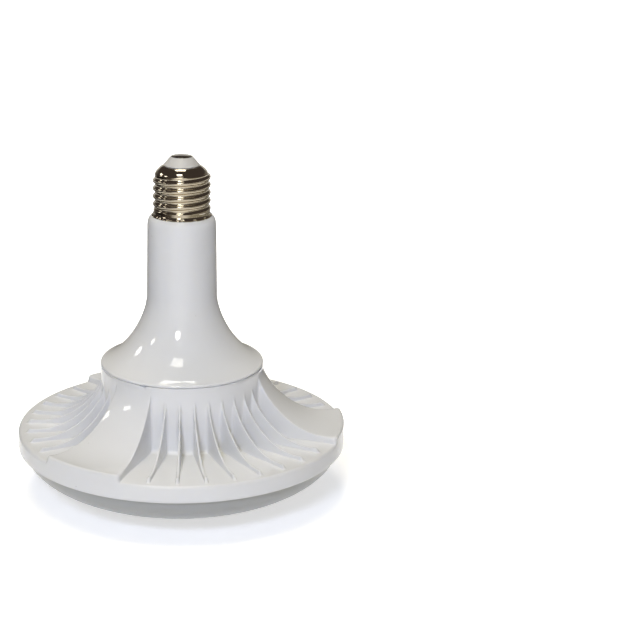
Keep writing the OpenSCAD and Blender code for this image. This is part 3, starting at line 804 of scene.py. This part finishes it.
# the tone at each azimuth in degrees
tones = [(-180, "#84817C"), (-150, "#84817C"), (-128, "#3E3A36"), (-105, "#1A1816"),
         (-80, "#332E29"), (-45, "#60584F"), (-22, "#FBF8F2"), (12, "#FBF8F2"),
         (36, "#A9A496"), (100, "#8F8B80"), (180, "#84817C")]


def tone_round(tree, x, y):
    """The tone at the azimuth of (x, y) from the axis; azimuth 0 is in front, + to the right."""
    ahead = add(tree, "ShaderNodeMath", {"operation": "MULTIPLY"}, {1: -1.0}, {0: y})
    azimuth = add(tree, "ShaderNodeMath", {"operation": "ARCTAN2"},
                  links={0: x, 1: ahead.outputs["Value"]})
    share = add(tree, "ShaderNodeMapRange", values={"From Min": -math.pi, "From Max": math.pi},
                links={"Value": azimuth.outputs["Value"]})
    ramp = add(tree, "ShaderNodeValToRGB", links={"Fac": share.outputs["Result"]})
    stops = ramp.color_ramp.elements
    stops[0].color, stops[1].color = linear(tones[0][1]), linear(tones[-1][1])
    for degrees, code in tones[1:-1]:
        stops.new((degrees + 180) / 360).color = linear(code)
    return ramp.outputs["Color"]


def glowing(name, strength=1.0):
    """A material that only shines, in a warm white unless its colour gets a link."""
    material, tree, shader = new_material(name)
    shader.inputs["Base Color"].default_value = linear("#000000")
    shader.inputs["Specular IOR Level"].default_value = 0.0
    shader.inputs["Emission Color"].default_value = linear("#FFFDF6")
    shader.inputs["Emission Strength"].default_value = strength
    return material, tree, shader


def only_reflected(piece, material):
    """Stage the piece so that nothing but a reflection sees it."""
    piece.data.materials.append(material)
    piece.visible_camera = piece.visible_diffuse = piece.visible_shadow = False


deselect()
bpy.ops.mesh.primitive_cylinder_add(vertices=120, radius=ring_r, depth=ring_height,
                                    end_fill_type="NOTHING", location=(0, 0, ring_height / 2))
ring = bpy.context.object
ring.name = "card_ring"
felt, tree, shader = glowing("card_ring_tones")
place = add(tree, "ShaderNodeTexCoord").outputs["Object"]
parts = add(tree, "ShaderNodeSeparateXYZ", links={"Vector": place})
tree.links.new(tone_round(tree, parts.outputs["X"], parts.outputs["Y"]),
               shader.inputs["Emission Color"])
only_reflected(ring, felt)
print("tones round the lamp:", len(tones))

# %% [markdown]
# ## Light
# Soft light all round comes from the world. Five small lights stand where the lamp's clear
# reflections call for them: one in front, two panels on the ceiling, and two at the left. The
# plastic mirrors them as the crisp spots on the flare and on the plain sectors. How bright a
# mirror image is and how much light its lamp gives are set apart, so that each fits the photo.
# Two wide soft lights without a mirror image, right and low in front, fill what is left dark.

# %% World
world = bpy.data.worlds.new("studio_world")
bpy.context.scene.world = world
world.use_nodes = True
tree = world.node_tree
background = tree.nodes["Background"]
direction = add(tree, "ShaderNodeTexCoord").outputs["Generated"]
parts = add(tree, "ShaderNodeSeparateXYZ", links={"Vector": direction})
# what the camera and the glossy surfaces see: white surroundings low down, a dark room above
height = add(tree, "ShaderNodeMapRange", {"clamp": True, "interpolation_type": "SMOOTHSTEP"},
             {"From Min": 0.14, "From Max": 0.36, "To Min": 0.0, "To Max": 1.0},
             {"Value": parts.outputs["Z"]})
path = add(tree, "ShaderNodeLightPath")
low = add(tree, "ShaderNodeMix", {"data_type": "RGBA"}, {"A": linear("#FFFFFF")},
          {"Factor": path.outputs["Is Glossy Ray"],
           "B": tone_round(tree, parts.outputs["X"], parts.outputs["Y"])})
room = add(tree, "ShaderNodeMix", {"data_type": "RGBA"}, {"B": linear("#48413E")},
           {"A": low.outputs["Result"], "Factor": height.outputs["Result"]})
# what lights the matt surfaces: more from the right, where the room is open. These are
# amounts of light, so they are written as they are and not as colours
closed_side, open_side = (0.03, 0.03, 0.03, 1), (0.115, 0.105, 0.115, 1)
side = add(tree, "ShaderNodeMapRange", {"clamp": True}, {"From Min": -1.0, "From Max": 1.0},
           {"Value": parts.outputs["X"]})
around = add(tree, "ShaderNodeMix", {"data_type": "RGBA"},
             {"A": closed_side, "B": open_side}, {"Factor": side.outputs["Result"]})
soft = add(tree, "ShaderNodeMix", {"data_type": "RGBA"},
           links={"Factor": path.outputs["Is Diffuse Ray"], "A": room.outputs["Result"],
                  "B": around.outputs["Result"]})
tree.links.new(soft.outputs["Result"], background.inputs["Color"])
background.inputs["Strength"].default_value = 1.0
print("world:", world.name)

# %% [markdown]
# Each window is an area light that neither the camera nor a reflection sees, and a pane of the
# same shape in the same place that only reflections see. A light that needs no mirror image has
# no pane, and a pale wall is a pane without a light.

# %% Windows and walls
def window(name, centre, aim, size, radiance, colour, gloss, round_shape=False):
    """A flat light at a place in metres, and its pane, if gloss is not zero.

    The light gives the radiance, and the pane has the brightness of the mirror image.
    """
    centre, way = Vector(centre), (Vector(centre) - Vector(aim)).normalized()
    turn = way.to_track_quat("Z", "Y")
    deselect()
    bpy.ops.object.light_add(type="AREA", location=centre)
    light = bpy.context.object
    light.name = name
    light.data.shape = "ELLIPSE" if round_shape else "RECTANGLE"
    light.data.size, light.data.size_y = size
    area = size[0] * size[1] * (math.pi / 4 if round_shape else 1)
    light.data.energy = radiance * area * math.pi
    light.data.color = linear(colour)[:3]
    light.rotation_mode = "QUATERNION"
    light.rotation_quaternion = turn
    light.visible_camera = light.visible_glossy = False
    if gloss:
        deselect()
        if round_shape:
            bpy.ops.mesh.primitive_circle_add(vertices=48, radius=0.5, fill_type="NGON",
                                              location=centre)
        else:
            bpy.ops.mesh.primitive_plane_add(size=1, location=centre)
        pane = bpy.context.object
        pane.name = name + "_pane"
        pane.rotation_mode = "QUATERNION"
        pane.rotation_quaternion = turn
        pane.scale = (*size, 1)
        only_reflected(pane, glowing(name + "_pane_glow", gloss)[0])


def wall_pane(name, centre, size, glow):
    """An upright pane, square to the front, that only reflections see."""
    deselect()
    bpy.ops.mesh.primitive_plane_add(size=1, location=centre, rotation=(math.pi / 2, 0, 0))
    pane = bpy.context.object
    pane.name = name
    pane.scale = (*size, 1)
    only_reflected(pane, glowing(name + "_glow", glow)[0])


def overhead(name, x, y, size, radiance, colour, gloss):
    """A panel on the ceiling that looks straight down."""
    window(name, (x, y, ceiling_z), (x, y, 0), size, radiance, colour, gloss)


def at(azimuth, elevation):
    """A place seen from the lamp's flare; azimuth 0 is in front, + to the right."""
    a, e = math.radians(azimuth), math.radians(elevation)
    return (window_distance * math.sin(a) * math.cos(e),
            -window_distance * math.cos(a) * math.cos(e),
            flare_at[2] + window_distance * math.sin(e))


flare_at, window_distance, ceiling_z = (0, 0, 0.07), 1.6, 1.6
print("windows stand", window_distance, "m from the flare, the ceiling is", ceiling_z, "m up")

# %% [markdown]
# The places are read from the crisp spots on the lamp: the direction of a light follows from
# where its spot lies on the round flare. Of the two walls, the one behind the camera shines in
# the cap, and the low one behind the lamp is what the flat of the contact mirrors.

# %% Lamps
window("front_window", at(-12.2, 33.5), flare_at, (0.35, 0.28), 51.5, "#DAE4FF", 13.0, True)
window("left_window", at(-110, 29.2), flare_at, (0.28, 0.18), 1.5, "#FFFDF8", 8.0)
window("left_window_small", at(-79, 30.3), flare_at, (0.24, 0.12), 1.5, "#FFFDF8", 8.0)
overhead("ceiling_panel_front", -0.20, -0.71, (0.47, 0.40), 15.2, "#FFF0AF", 5.6)
overhead("ceiling_panel_back", -0.06, 0.50, (0.50, 0.46), 11.7, "#FFF9EF", 6.5)
window("right_high", at(100, 68), flare_at, (0.9, 0.6), 0.7, "#C4E0FF", 0)
window("low_front", at(5, 9), flare_at, (0.9, 0.6), 1.2, "#FFF8E8", 0)
wall_pane("wall_strip", (-0.15, -2.0, 1.55), (0.85, 2.1), 0.55)
wall_pane("back_wall", (0, 2.0, 0.5), (1.9, 0.36), 0.8)

# %% [markdown]
# ## Finish
# The picture shows colours as they are written, through the Standard view transform. The
# dressed lamp has to stay in the box of the solids.

# %% Finish
bpy.context.scene.view_settings.view_transform = "Standard"
deselect()
